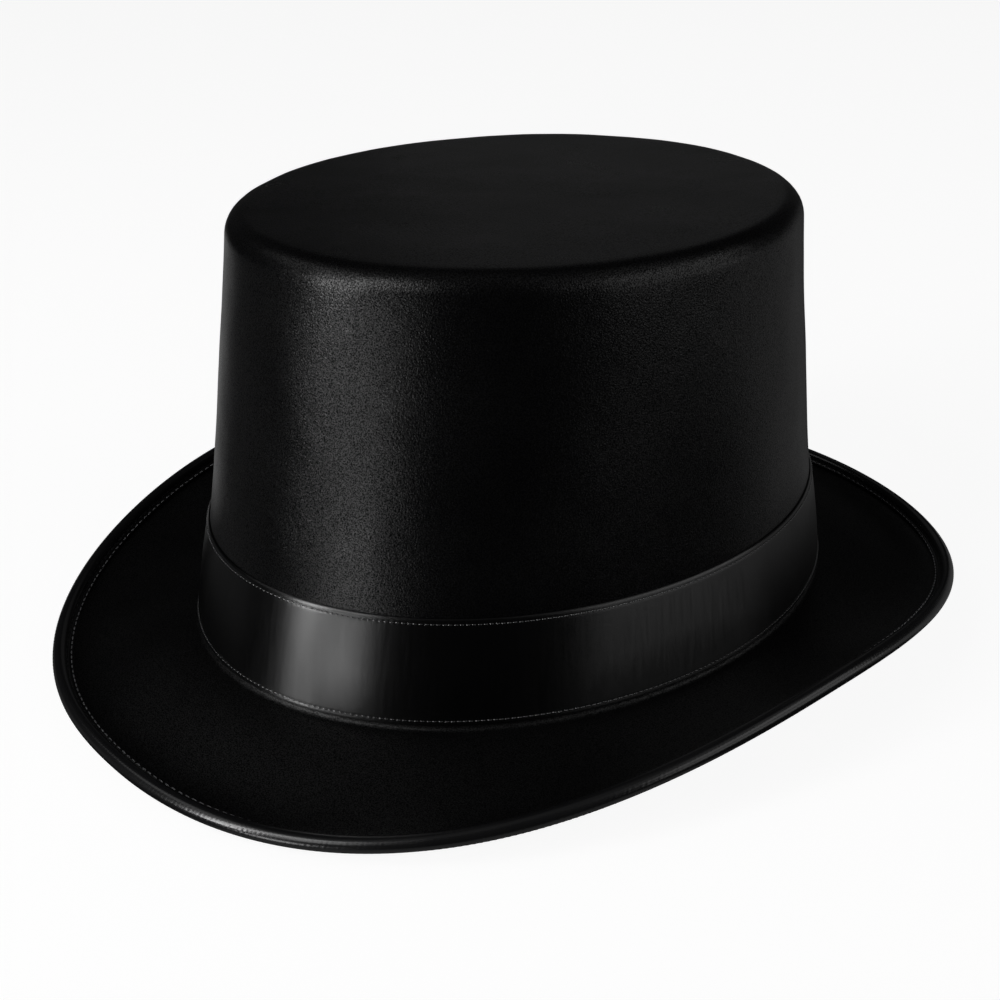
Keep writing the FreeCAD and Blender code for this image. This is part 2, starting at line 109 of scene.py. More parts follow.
def wall_point(angle, height, outset=0.0, oval_height=None):
    """A point beside the crown's wall; oval_height may fix the oval of another level."""
    half_width, half_length = wall_axes(height if oval_height is None else oval_height, outset)
    return Vector((half_width * math.cos(angle), half_length * math.sin(angle), FOOT + height))


def right_point(along, height, outset):
    """A point on the wearer's right (-X), along metres towards the back."""
    half_length = wall_axes(height, outset)[1]
    return wall_point(math.pi - math.asin(along / half_length), height, outset)


def back_point(along, height, outset):
    """A point on the back (+Y), along metres towards the wearer's left."""
    half_width = wall_axes(height, outset)[0]
    return wall_point(math.acos(along / half_width), height, outset)


def sideness(angle):
    """0 at front and back, 1 at the sides, changing fastest near the sides."""
    return math.cos(angle) ** 4


def bead_centre(angle):
    """Middle of the bound edge."""
    across = math.cos(angle)
    along = math.sin(angle)
    power = BRIM_SQUARENESS
    reach = (abs(across) ** power + abs(along) ** power) ** (-1 / power)
    height = BRIM_LIFT * sideness(angle) - BRIM_DIP
    return Vector((BRIM_HALVES[0] * across * reach, BRIM_HALVES[1] * along * reach,
                   FOOT + height))


@lru_cache(maxsize=None)
def brim_radial(angle):
    """Ends and end pulls of the cubic that the brim felt's middle follows, root to edge."""
    outset = GAP + COLLAR + BREAK
    root = wall_point(angle, -BRIM_DROP - BRIM_FELT / 2, outset, oval_height=0.0)
    centre = bead_centre(angle)
    outwards = Vector((centre.x - root.x, centre.y - root.y, 0)).normalized()
    side = sideness(angle)
    root_turn = math.radians(ROOT_SLOPE * (1 - side))
    edge_turn = math.radians(FRONT_SLOPE * (1 - side) + SIDE_SLOPE * side)
    root_run = outwards * math.cos(root_turn) + UP * math.sin(root_turn)
    edge_run = outwards * math.cos(edge_turn) + UP * math.sin(edge_turn)
    edge = centre - edge_run * EDGE_SETBACK
    width = (edge - root).to_2d().length
    return root, root_run * width, edge, edge_run * (width * CURL_REACH)


def brim_point(angle, share, above=0.0):
    """A point of the brim: share is 0 at the crown and 1 at the felt's edge."""
    root, root_pull, edge, edge_pull = brim_radial(angle)
    point = (root * (2 * share ** 3 - 3 * share ** 2 + 1)
             + root_pull * (share ** 3 - 2 * share ** 2 + share)
             + edge * (3 * share ** 2 - 2 * share ** 3)
             + edge_pull * (share ** 3 - share ** 2))
    run = (root * (6 * share ** 2 - 6 * share)
           + root_pull * (3 * share ** 2 - 4 * share + 1)
           + edge * (6 * share - 6 * share ** 2)
           + edge_pull * (3 * share ** 2 - 2 * share)).normalized()
    return point + (UP - run * run.z).normalized() * above


def edge_point(angle, inwards, above=0.0):
    """A point near the brim's edge, by its distance inwards from the bead's middle."""
    edge, edge_pull = brim_radial(angle)[2:]
    beyond = EDGE_SETBACK - inwards
    if beyond < 0:
        return brim_point(angle, 1 + beyond / edge_pull.length, above)
    run = edge_pull.normalized()
    return edge + run * beyond + (UP - run * run.z).normalized() * above


def band_outset(height):
    """Outer face of the hat band: over the upstand below, on the bare crown above."""
    low = COLLAR + 2 * GAP
    share = height / BAND_HEIGHT
    bulge = 2 * (low - GAP) * share * (1 - share)
    return low + (GAP - low) * share + bulge + BAND_THICKNESS


def leather_outset(height):
    """Head-side face of the sweatband, which leans off the wall towards its free edge."""
    foot = -(FELT + LINING + 3 * GAP + LEATHER)
    return foot - LEATHER_LEAN * (height - CROWN_EDGE) / (LEATHER_HEIGHT - CROWN_EDGE)


# ------------------------------------------------------------------ mesh making


def steps(low, high, count):
    """count + 1 even values from low to high."""
    return [low + (high - low) * number / count for number in range(count + 1)]


def bump(value, middle, width):
    """A smooth hill 1 high at the middle."""
    return math.exp(-((value - middle) / width) ** 2)


def running_length(points, closed):
    """The distance travelled at each point, and at the start again if it is closed."""
    route = points + points[:1] if closed else points
    run = [0.0]
    for before, after in zip(route, route[1:]):
        run.append(run[-1] + (after - before).length)
    return run


def skin(rows, ring=True, tube=True):
    """Points, quads and quad corners' UVs (metres along, metres across) of a net of rows."""
    across = len(rows[0])
    run = running_length([row[0] for row in rows], ring)
    span = running_length(rows[0], tube)
    quads = []
    corners = []
    for here in range(len(run) - 1):
        there = (here + 1) % len(rows)
        for low in range(len(span) - 1):
            high = (low + 1) % across
            quads.append((here * across + low, there * across + low,
                          there * across + high, here * across + high))
            corners += [(run[here], span[low]), (run[here + 1], span[low]),
                        (run[here + 1], span[low + 1]), (run[here], span[low + 1])]
    if not ring:
        for end in (0, len(rows) - 1):
            face = tuple(end * across + number for number in range(across))
            quads.append(face)
            corners += [(run[end], span[number]) for number in range(across)]
    return [point for row in rows for point in row], quads, corners


def make_piece(name, skins, material, replaced):
    """One visible piece from one or more skins. It stands for the CAD nodes replaced."""
    points, faces, corners = [], [], []
    for skin_points, skin_faces, skin_corners in skins:
        shift = len(points)
        points += skin_points
        faces += [tuple(index + shift for index in face) for face in skin_faces]
        corners += skin_corners
    mesh = bpy.data.meshes.new(name)
    mesh.from_pydata(points, [], faces)
    layer = mesh.uv_layers.new(name="UVMap")
    layer.data.foreach_set("uv", [number for corner in corners for number in corner])
    work = bmesh.new()
    work.from_mesh(mesh)
    bmesh.ops.remove_doubles(work, verts=work.verts, dist=0.001 * MM)
    bmesh.ops.recalc_face_normals(work, faces=work.faces)
    work.to_mesh(mesh)
    work.free()
    mesh.shade_smooth()
    mesh.materials.append(material)
    piece = bpy.data.objects.new(name, mesh)
    bpy.context.scene.collection.objects.link(piece)
    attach(piece, "root")
    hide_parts(*replaced)
    return piece


def soften(piece, size, amount, weight):
    """Small unevenness of hand-blocked felt or cloth, of that size; weight(point) fades it."""
    vertices = piece.data.vertices
    moved = []
    for vertex in vertices:
        swell = noise.noise(vertex.co / size) * amount * weight(vertex.co)
        moved.extend(vertex.co + vertex.normal * swell)
    vertices.foreach_set("co", moved)


def around(count):
    """Even turns once round the hat."""
    return [FULL_TURN * number / count for number in range(count)]


def spaced(place, count):
    """Middle, direction and angle at equal distances along the closed curve place(angle)."""
    angles = around(3600) + [FULL_TURN]
    points = [place(angle) for angle in angles]
    run = running_length(points, False)
    places = []
    index = 0
    for number in range(count):
        goal = run[-1] * (number + 0.5) / count
        while run[index + 1] < goal:
            index += 1
        along = (points[index + 1] - points[index]).normalized()
        places.append((points[index], along, angles[index]))
    return places


# ------------------------------------------------------------------ materials


def start_material(name):
    """A new node material, its tree and its shader."""
    material = bpy.data.materials.new(name)
    material.use_nodes = True
    tree = material.node_tree
    return material, tree, tree.nodes["Principled BSDF"]


def add_node(tree, kind, inputs, **settings):
    """A node with its settings; inputs are values, or output sockets to link."""
    made = tree.nodes.new(kind)
    for name, value in settings.items():
        setattr(made, name, value)
    for name, value in inputs.items():
        if isinstance(value, bpy.types.NodeSocket):
            tree.links.new(value, made.inputs[name])
        else:
            made.inputs[name].default_value = value
    return made


def set_shader(tree, shader, **values):
    """Values or links for the shader's sockets, named with _ for a space."""
    for name, value in values.items():
        socket = shader.inputs[name.replace("_", " ")]
        if isinstance(value, bpy.types.NodeSocket):
            tree.links.new(value, socket)
        else:
            socket.default_value = value


def object_coordinates(tree):
    """Places in the hat's own frame, in metres."""
    return tree.nodes.new("ShaderNodeTexCoord").outputs["Object"]


def cloth_coordinates(tree, along=1.0, across=1.0):
    """The piece's own (metres along, metres across), scaled."""
    spot = tree.nodes.new("ShaderNodeUVMap")
    spot.uv_map = "UVMap"
    return add_node(tree, "ShaderNodeMapping",
                    {"Vector": spot.outputs["UV"], "Scale": (along, across, 1.0)}).outputs[0]


def noise_of(tree, spot, scale, detail=2.0, roughness=0.5):
    """A cloudy value, about 0.5, that changes over 1 / scale metres."""
    return add_node(tree, "ShaderNodeTexNoise", {"Vector": spot, "Scale": scale,
                    "Detail": detail, "Roughness": roughness}).outputs["Fac"]


def sum_of(tree, *weighted):
    """The sum of outputs, each with its weight."""
    total = None
    for output, weight in weighted:
        inputs = {0: output, 1: weight, 2: 0.0 if total is None else total}
        total = add_node(tree, "ShaderNodeMath", inputs, operation="MULTIPLY_ADD").outputs[0]
    return total


def ramp(tree, value, low, high, start=0.0, stop=1.0):
    """Carries value from start..stop to low..high."""
    return add_node(tree, "ShaderNodeMapRange", {"Value": value, "From Min": start,
                    "From Max": stop, "To Min": low, "To Max": high}).outputs["Result"]


def tint(tree, value, dark, light):
    """A colour between dark and light."""
    mix = add_node(tree, "ShaderNodeMix", {"Factor": value}, data_type="RGBA")
    mix.inputs[6].default_value = (*dark, 1.0)
    mix.inputs[7].default_value = (*light, 1.0)
    return mix.outputs[2]


def relief(tree, height, strength, depth):
    """A surface normal from a height of 0 to 1, which stands for depth metres."""
    return add_node(tree, "ShaderNodeBump",
                    {"Height": height, "Strength": strength, "Distance": depth}).outputs["Normal"]


def felt_material(name, gloss, tone, sheen):
    """Stiffened wool felt: fine pressed nap, pebbled by the blocking steam."""
    material, tree, shader = start_material(name)
    spot = object_coordinates(tree)
    nap = noise_of(tree, spot, 4200.0, 2.0, 0.6)
    pebble = noise_of(tree, spot, 2300.0, 1.0, 0.5)
    speckle = noise_of(tree, spot, 2900.0, 1.0, 0.5)
    cloud = noise_of(tree, spot, 45.0, 3.0)
    height = sum_of(tree, (nap, 0.1), (pebble, 1.0))
    wear = sum_of(tree, (cloud, 0.7), (nap, 0.3))
    set_shader(
        tree, shader,
        Base_Color=tint(tree, wear, tone, [channel * 2.2 for channel in tone]),
        Roughness=ramp(tree, wear, gloss - 0.03, gloss + 0.05, 0.3, 0.7),
        Normal=relief(tree, height, 1.0, 0.08 * MM),
        Specular_IOR_Level=ramp(tree, speckle, 0.08, 0.78, 0.35, 0.65),
        Sheen_Weight=sheen, Sheen_Roughness=0.25,
    )
    return material


def satin_material(name, gloss, tone, strength=0.3):
    """Ribbon satin: warp floats run along the ribbon, so light spreads across it."""
    material, tree, shader = start_material(name)
    warp = noise_of(tree, cloth_coordinates(tree, 260.0, 6000.0), 1.0, 2.0, 0.6)
    slub = noise_of(tree, cloth_coordinates(tree, 900.0, 70.0), 1.0, 2.0)
    weft = add_node(tree, "ShaderNodeTexWave", {"Vector": cloth_coordinates(tree, 1.0, 1.0),
                    "Scale": 900.0, "Distortion": 0.6, "Detail": 1.0}, bands_direction="X")
    height = sum_of(tree, (warp, 1.0), (weft.outputs["Fac"], 0.25), (slub, 0.6))
    set_shader(
        tree, shader,
        Base_Color=tint(tree, warp, tone, [channel * 1.9 for channel in tone]),
        Roughness=ramp(tree, slub, gloss - 0.03, gloss + 0.04, 0.3, 0.7),
        Normal=relief(tree, height, strength, 0.05 * MM),
        Tangent=add_node(tree, "ShaderNodeTangent", {}, direction_type="UV_MAP",
                         uv_map="UVMap").outputs[0],
        Anisotropic=0.9, Anisotropic_Rotation=0.25, Specular_IOR_Level=1.0, IOR=1.6,
    )
    return material


def grosgrain_material(name, tone):
    """Ribbed edging ribbon: fine ribs across its length, slightly worn on the fold."""
    material, tree, shader = start_material(name)
    ribs = add_node(tree, "ShaderNodeTexWave", {"Vector": cloth_coordinates(tree, 1.0, 0.35),
                    "Scale": 520.0, "Distortion": 0.4, "Detail": 1.0}, bands_direction="DIAGONAL")
    fibre = noise_of(tree, cloth_coordinates(tree, 1500.0, 5200.0), 1.0, 2.0)
    cloud = noise_of(tree, object_coordinates(tree), 70.0, 2.0)
    height = sum_of(tree, (ribs.outputs["Fac"], 1.0), (fibre, 0.5))
    wear = sum_of(tree, (cloud, 0.6), (fibre, 0.4))
    set_shader(
        tree, shader,
        Base_Color=tint(tree, wear, tone, [channel * 2.0 for channel in tone]),
        Roughness=ramp(tree, wear, 0.2, 0.27, 0.3, 0.7),
        Normal=relief(tree, height, 0.14, 0.05 * MM),
        Specular_IOR_Level=1.0,
    )
    return material


def thread_material(name, tone, shine):
    """Polyester sewing thread, twisted; shine is its index of refraction."""
    material, tree, shader = start_material(name)
    fibre = noise_of(tree, cloth_coordinates(tree, 2500.0, 9000.0), 1.0, 1.0)
    set_shader(
        tree, shader,
        Base_Color=tint(tree, fibre, tone, [channel * 2.4 for channel in tone]),
        Roughness=ramp(tree, fibre, 0.22, 0.36, 0.3, 0.7),
        Normal=relief(tree, fibre, 0.3, 0.03 * MM),
        Specular_IOR_Level=1.0, IOR=shine,
    )
    return material


def leather_material(name, dark, light):
    """Sheepskin sweatband: pebbled grain, pores, and a polish where the head rubs."""
    material, tree, shader = start_material(name)
    spot = object_coordinates(tree)
    grain = add_node(tree, "ShaderNodeTexVoronoi", {"Vector": spot, "Scale": 950.0},
                     feature="SMOOTH_F1").outputs["Distance"]
    pores = noise_of(tree, spot, 3200.0, 1.0)
    polish = noise_of(tree, spot, 30.0, 3.0)
    height = sum_of(tree, (grain, -1.0), (pores, 0.2))
    set_shader(
        tree, shader,
        Base_Color=tint(tree, sum_of(tree, (polish, 0.8), (grain, 0.3)), dark, light),
        Roughness=ramp(tree, polish, 0.34, 0.58, 0.3, 0.7),
        Normal=relief(tree, height, 0.5, 0.15 * MM),
    )
    return material


def metal_material(name, colour, roughness):
    """Drawn metal: fine lines along it, and dull patches."""
    material, tree, shader = start_material(name)
    spot = object_coordinates(tree)
    lines = noise_of(tree, spot, 4000.0, 2.0)
    dull = noise_of(tree, spot, 120.0, 3.0)
    set_shader(
        tree, shader,
        Base_Color=tint(tree, dull, [channel * 0.6 for channel in colour], colour),
        Metallic=1.0,
        Roughness=ramp(tree, dull, roughness, roughness + 0.2, 0.3, 0.7),
        Normal=relief(tree, lines, 0.2, 0.02 * MM),
    )
    return material


BLACK_FELT = felt_material("black_felt", 0.29, (0.0016, 0.0016, 0.0018), 0.1)
# The brim's felt is the crown's felt with a darker colour and less sheen. The darker colour is
# painted shade for the dimmer light under the crown.
BRIM_FELT_PAINTED_SHADE = felt_material("black_brim_felt_painted_shade", 0.42, (0.0010, 0.0010, 0.0011), 0.03)
BLACK_SATIN = satin_material("black_satin", 0.31, (0.0004, 0.0004, 0.0005))
BLACK_GROSGRAIN = grosgrain_material("black_grosgrain", (0.0065, 0.0065, 0.0069))
BLACK_THREAD = thread_material("black_thread", (0.016, 0.016, 0.017), 2.1)
# The edging thread is the same black thread coloured light grey: a painted highlight, so its stitch
# line shows bright along the bound edge.
EDGING_THREAD_PAINTED_LIGHT = thread_material("edging_thread_painted_highlight", (0.2, 0.2, 0.208), 1.6)
BROWN_LEATHER = leather_material("brown_leather", (0.020, 0.009, 0.005), (0.060, 0.030, 0.016))
LINING_SATIN = satin_material("lining_satin", 0.34, (0.010, 0.010, 0.012), 0.16)
WIRE_STEEL = metal_material("wire_steel", (0.52, 0.52, 0.54), 0.3)
FERRULE_BRASS = metal_material("ferrule_brass", (0.72, 0.52, 0.24), 0.25)

# ------------------------------------------------------------------ the pieces


def crown_rings(top, outset, radius, wall_heights, tip_rings):
    """Rings (height, outset, share of the oval) up a wall, over its shoulder, to the middle."""
    rings = [(height, outset, 1.0) for height in wall_heights]
    for turn in steps(0.0, math.pi / 2, 10)[1:]:
        rings.append((top - radius * (1 - math.sin(turn)), outset - radius * (1 - math.cos(turn)),
                      1.0))
    rings += [(top, outset - radius, share) for share in steps(1.0, 0.0, tip_rings)[1:]]
    return rings


def ring_rows(rings, angles):
    """Rows of points, one for each ring of crown_rings."""
    rows = []
    for height, outset, share in rings:
        row = []
        for angle in angles:
            point = wall_point(angle, height, outset)
            row.append(Vector((point.x * share, point.y * share, point.z)))
        rows.append(row)
    return rows


def drop_caps(net):
    """The net without the two end faces of an open row of rings that close to a point."""
    points, faces, corners = net
    ends = len(faces[-1]) + len(faces[-2])
    return points, faces[:-2], corners[:-ends]


def make_crown():
    """Blocked felt crown: wall, soft shoulder, flat top, and its inside."""
    fade = 12 * MM
    outside = crown_rings(CROWN_HEIGHT, 0.0, SHOULDER,
                          steps(CROWN_EDGE, CROWN_HEIGHT - SHOULDER, 44), 26)
    inside_top = CROWN_HEIGHT - FELT
    inside = crown_rings(inside_top, -FELT, SHOULDER - FELT,
                         steps(CROWN_EDGE, inside_top - SHOULDER + FELT, 20), 12)
    rows = ring_rows(outside[::-1] + inside, around(480))
    net = skin(rows, ring=False, tube=True)
    crown = make_piece("crown_felt", [drop_caps(net)], BLACK_FELT, ["crown"])

    def bare(point):
        return min(1.0, max(0.0, (point.z - FOOT - BAND_HEIGHT) / fade))
    soften(crown, 34 * MM, 0.35 * MM, bare)
    soften(crown, 9 * MM, 0.07 * MM, bare)


def make_brim():
    """Felt brim, curled up all round, with the thin upstand that grips the crown."""
    collar_out = GAP + COLLAR
    collar_top = 13.0 * MM
    half = BRIM_FELT / 2
    rows = []
    for angle in around(420):
        row = [wall_point(angle, height, GAP) for height in steps(collar_top, CROWN_EDGE, 3)]
        row += [brim_point(angle, share, -half) for share in steps(0.0, 1.0, 30)]
        row += [brim_point(angle, share, half) for share in steps(1.0, 0.0, 34)]
        for turn in steps(math.pi / 2, 0.0, 6)[1:]:
            outset = collar_out + BREAK * (1 - math.cos(turn))
            height = BREAK * (1 - math.sin(turn)) - BRIM_DROP
            row.append(wall_point(angle, height, outset, oval_height=0.0))
        row.append(wall_point(angle, collar_top, collar_out))
        rows.append(row)
    brim = make_piece("brim_felt", [skin(rows)], BRIM_FELT_PAINTED_SHADE, ["brim"])

    def open_felt(point):
        return 0.0 if point.z > FOOT + 10 * MM and abs(point.x) < FOOT_HALVES[0] else 1.0
    soften(brim, 24 * MM, 0.12 * MM, open_felt)


RIBS = 500                          # woven ribs of the edging ribbon, once round the brim
RIB_ROWS = 4                        # rows of points for each rib
RIB_DEPTH = 0.13 * MM
RIB_SLANT = 1.5 * MM                # way across the ribbon in which a rib moves by one pitch


def binding_section():
    """(inwards, above, rib) points once round the folded ribbon, in order.

    From the stitched upper fold down into the groove, round the bead over the wire, along
    the lower flange, and back along the inside. rib is how far the ribs show there.
    """
    cover = BEAD + 0.08 * MM
    lining = BEAD - 0.6 * MM
    section = [(3.72 * MM, 1.3 * MM, 0.0), (3.76 * MM, 1.66 * MM, 0.0),
               (3.58 * MM, 1.96 * MM, 0.1), (3.22 * MM, 2.06 * MM, 0.2),
               (2.88 * MM, 1.9 * MM, 0.2), (2.58 * MM, 1.62 * MM, 0.2),
               (2.28 * MM, 1.46 * MM, 0.2), (1.95 * MM, 1.47 * MM, 0.2)]
    for degrees in steps(128.0, -128.0, 16):
        turn = math.radians(degrees)
        showing = 0.05 + 0.95 * bump(degrees, -14.0, 30.0)
        section.append((-cover * math.cos(turn), cover * math.sin(turn), showing))
    section += [(1.75 * MM, -1.42 * MM, 0.5), (2.15 * MM, -1.46 * MM, 0.7),
                (2.5 * MM, -1.72 * MM, 1.0), (3.1 * MM, -1.84 * MM, 1.0),
                (3.9 * MM, -1.84 * MM, 1.0), (4.7 * MM, -1.8 * MM, 1.0),
                (5.2 * MM, -1.7 * MM, 0.4), (5.25 * MM, -1.3 * MM, 0.0),
                (3.4 * MM, -1.2 * MM, 0.0)]
    for degrees in steps(-115.0, 115.0, 6):
        turn = math.radians(degrees)
        section.append((-lining * math.cos(turn), lining * math.sin(turn), 0.0))
    section.append((2.6 * MM, 1.2 * MM, 0.0))
    return section


def make_binding():
    """Grosgrain ribbon folded over the brim's edge and its wire."""
    section = binding_section()
    turns = [angle for _, _, angle in spaced(bead_centre, RIBS * RIB_ROWS)]
    rows = []
    for number, angle in enumerate(turns):
        row = []
        for inwards, above, showing in section:
            phase = number / RIB_ROWS + (inwards if above < 0 else -inwards) / RIB_SLANT
            rib = math.cos(FULL_TURN * phase) * RIB_DEPTH * showing
            reach = math.hypot(inwards, above)
            lift = rib * (above / reach)
            row.append(edge_point(angle, inwards, above + lift))
        rows.append(row)
    ribbon = make_piece("brim_binding_ribbon", [skin(rows)], BLACK_GROSGRAIN,
                        ["brim_binding"])
    width = running_length([edge_point(0.0, *spot[:2]) for spot in section], True)[-1] / 2
    length = running_length([bead_centre(angle) for angle in turns], True)[-1]


BAND_STITCHES = 380
BINDING_STITCHES = 330
SEAM_STITCHES = 130
LEATHER_STITCHES = 180
STITCH_MARGIN = 1.3 * MM            # the band's thread rows, in from its edges


def make_band():
    """Satin band with turned, top-stitched edges; the stitches pull it in."""
    per_stitch = 4
    edge = 0.12 * MM
    margin = 3.4 * MM
    plain = 4.5 * MM
    thin_top = 1.2 * MM
    heights = (steps(0.0, margin, 12) + steps(plain, BAND_HEIGHT - plain, 9)
               + steps(BAND_HEIGHT - margin, BAND_HEIGHT, 12))
    rows = []
    places = spaced(lambda angle: wall_point(angle, STITCH_MARGIN, BAND_PROUD),
                    BAND_STITCHES * per_stitch)
    for number, (_, _, angle) in enumerate(places):
        pull = 0.55 + 0.45 * math.cos(FULL_TURN * (number + 0.5) / per_stitch)
        row = []
        for height in heights:
            rim = min(height, BAND_HEIGHT - height)
            rounding = edge * (1 - math.sqrt(min(1.0, rim / edge))) if rim < edge else 0.0
            dent = bump(rim, STITCH_MARGIN, 0.35 * MM) * (0.05 + 0.07 * pull) * MM
            roll = 0.05 * MM * bump(rim, 0.6 * MM, 0.4 * MM)
            thinning = 0.25 * MM * max(0.0, 1 - (BAND_HEIGHT - height) / thin_top)
            outset = band_outset(height) - rounding - dent + roll - thinning
            row.append(wall_point(angle, height, outset))
        for height in steps(BAND_HEIGHT, 0.0, 6):
            row.append(wall_point(angle, height, band_outset(height) - BAND_THICKNESS))
        rows.append(row)
    band = make_piece("hat_band_satin", [skin(rows)], BLACK_SATIN, ["hat_band"])


def thread_skin(middle, along, lift, length):
    """One stitch of two-ply thread that dives into the cloth at both ends."""
    sides = 8
    twist = 2.6
    ply_depth = 0.16
    side = along.cross(lift).normalized()
    rows = []
    for share in steps(-1.0, 1.0, 8):
        swell = math.sqrt(max(0.02, 1 - share ** 4))
        centre = middle + along * (share * length / 2) - lift * (STITCH_ARCH * share ** 2)
        row = []
        for turn in around(sides):
            ply = 1 + ply_depth * math.cos(2 * (turn - twist * share))
            radius = THREAD * swell * ply
            row.append(centre + side * (radius * math.cos(turn)) + lift * (radius * math.sin(turn)))
        rows.append(row)
    return skin(rows, ring=False, tube=True)


def make_stitches(name, node, place, count, length, thread=BLACK_THREAD):
    """A row of stitches; place holds line(angle) and lift(angle), the way out of the cloth."""
    line, lift = place
    skins = [thread_skin(middle, along, lift(angle), length)
             for middle, along, angle in spaced(line, count)]
    make_piece(name, skins, thread, [node])


def wall_row(height, outset, sign=1):
    """A stitch line on the wall, and the way out of the cloth there."""
    def line(angle):
        return wall_point(angle, height, outset)

    def lift(angle):
        half_width, half_length = wall_axes(height)
        return Vector((math.cos(angle) / half_width, math.sin(angle) / half_length,
                       0)).normalized() * sign
    return line, lift


def edge_row(inwards, above):
    """A stitch line on the brim near its edge, and the way out of the cloth there."""
    def line(angle):
        return edge_point(angle, inwards, above)

    def lift(angle):
        return (edge_point(angle, inwards, above) - edge_point(angle, inwards, 0)).normalized()
    return line, lift


def flat_loops(spot, half_length, low, high, deep, puff, ply):
    """A ribbon ring pressed flat and pinched in its middle: the two loops of a bow.

    spot(along, height, outset) places a point; deep is the outset of the back layer's face.
    puff is how far the front layer stands off it, and ply is the ribbon's thickness.
    """
    rows = []
    fold = 0.9 * puff
    middle = (low + high) / 2
    for turn in around(120):
        reach = math.cos(turn)
        along = half_length * math.copysign(abs(reach) ** 0.55, reach)
        layer = math.sin(turn)
        pinch = bump(along, 0.0, 0.22 * half_length)
        front = 0.5 + 0.5 * layer
        rise = fold * front * (1 - 0.55 * pinch) + puff * 0.6 * front * (1 - reach ** 2)
        half = (high - low) / 2 * (1 - 0.12 * pinch)
        row = []
        for side in (1, -1):
            for share in steps(-1.0, 1.0, 22)[::side]:
                crease = pinch * 0.35 * puff * math.cos(share * 7.5 + 0.6) * front
                sag = 0.12 * puff * front * math.cos(share * 3 + along / half_length * 2)
                outset = deep + ply + rise + crease + sag * (1 - pinch)
                outset += ply / 2 * side * math.copysign(1, layer)
                row.append(spot(along, middle + half * share, outset))
        rows.append(row)
    return skin(rows)


def bow_knot(spot, half_width, low, high, deep, rise, ply):
    """A pleated strip over the middle of a bow, tucked in above and below."""
    rows = []
    for share in steps(-1.0, 1.0, 40):
        height = (low + high) / 2 + (high - low) / 2 * math.sin(share * math.pi / 2)
        tuck = rise * (1 - abs(share) ** 5)
        row = []
        for side in (1, -1):
            for across in steps(-1.0, 1.0, 24)[::side]:
                pleat = 0.16 * rise * math.cos(across * 8.0) * (1 - 0.5 * share ** 2)
                edge = 0.35 * rise * across ** 6
                waist = half_width * (0.86 + 0.14 * abs(share))
                outset = deep + tuck + pleat - edge + ply / 2 * side
                row.append(spot(waist * across, height, outset))
        rows.append(row)
    return skin(rows, ring=False, tube=True)


def make_bow():
    """The flat bow that covers the band's join, on the wearer's right."""
    low, high = (corner.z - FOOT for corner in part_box("band_bow_loops"))
    half_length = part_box("band_bow_loops")[1].y
    deep = BAND_PROUD + 0.35 * MM
    ply = 0.4 * MM
    loops = flat_loops(right_point, half_length, low, high, deep, 1.5 * MM, ply)
    bow = make_piece("band_bow_loops_satin", [loops], BLACK_SATIN, ["band_bow_loops"])
    low, high = (corner.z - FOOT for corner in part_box("band_bow_knot"))
    half_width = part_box("band_bow_knot")[1].y
    knot_skin = bow_knot(right_point, half_width, low, high, deep, 2.6 * MM, ply)
    knot = make_piece("band_bow_knot_satin", [knot_skin], BLACK_SATIN,
                      ["band_bow_knot"])


def make_sweatband():
    """Leather strip, butted and sewn at the back; its free upper edge waves a little."""
    wavy_from = 25 * MM
    gap_turn = GAP / FOOT_HALVES[0]
    turns = steps(BACK + gap_turn, BACK + FULL_TURN - gap_turn, 360)
    rows = []
    for angle in turns:
        row = []
        for height in steps(CROWN_EDGE, LEATHER_HEIGHT, 26):
            free = max(0.0, (height - wavy_from) / (LEATHER_HEIGHT - wavy_from))
            wave = 0.35 * MM * free * (1 + math.sin(7 * angle + 0.4) * math.sin(3 * angle))
            row.append((height, leather_outset(height) - wave))
        inner = [wall_point(angle, height, outset) for height, outset in row]
        outer = [wall_point(angle, height, outset + LEATHER) for height, outset in row[::-1]]
        tip_height, tip_outset = row[-1]
        crest = wall_point(angle, tip_height + 0.25 * MM, tip_outset + LEATHER / 2)
        rows.append(inner + [crest] + outer)
    band = make_piece("sweatband_leather", [skin(rows, ring=False)], BROWN_LEATHER,
                      ["sweatband"])


def make_reed():
    """Piping round the crown's lower edge, in thin leather."""
    radius = 0.8 * MM
    middle = CROWN_EDGE - radius - GAP
    rows = []
    for angle in around(420):
        row = []
        for turn in around(14):
            outset = -FELT / 2 + radius * math.cos(turn)
            height = middle + radius * math.sin(turn)
            row.append(wall_point(angle, height, outset, oval_height=0.0))
        rows.append(row)
    make_piece("sweatband_reed_leather", [skin(rows)], BROWN_LEATHER,
               ["sweatband_reed"])


def make_join_stitches():
    """Zigzag stitches up the sweatband's join at the back."""
    count = 16
    stitch = 2.4 * MM
    low, high = (corner.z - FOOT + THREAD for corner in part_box("sweatband_join_stitches"))
    lift = Vector((0, -1, 0))
    skins = []
    for number, height in enumerate(steps(low + 0.6 * MM, high - 1.1 * MM, count - 1)):
        lean = 1 if number % 2 else -1
        middle = wall_point(BACK, height, leather_outset(height) - THREAD)
        along = Vector((lean, 0, 1)).normalized()
        skins.append(thread_skin(middle, along, lift, stitch))
    make_piece("sweatband_join_thread", skins, BLACK_THREAD,
               ["sweatband_join_stitches"])


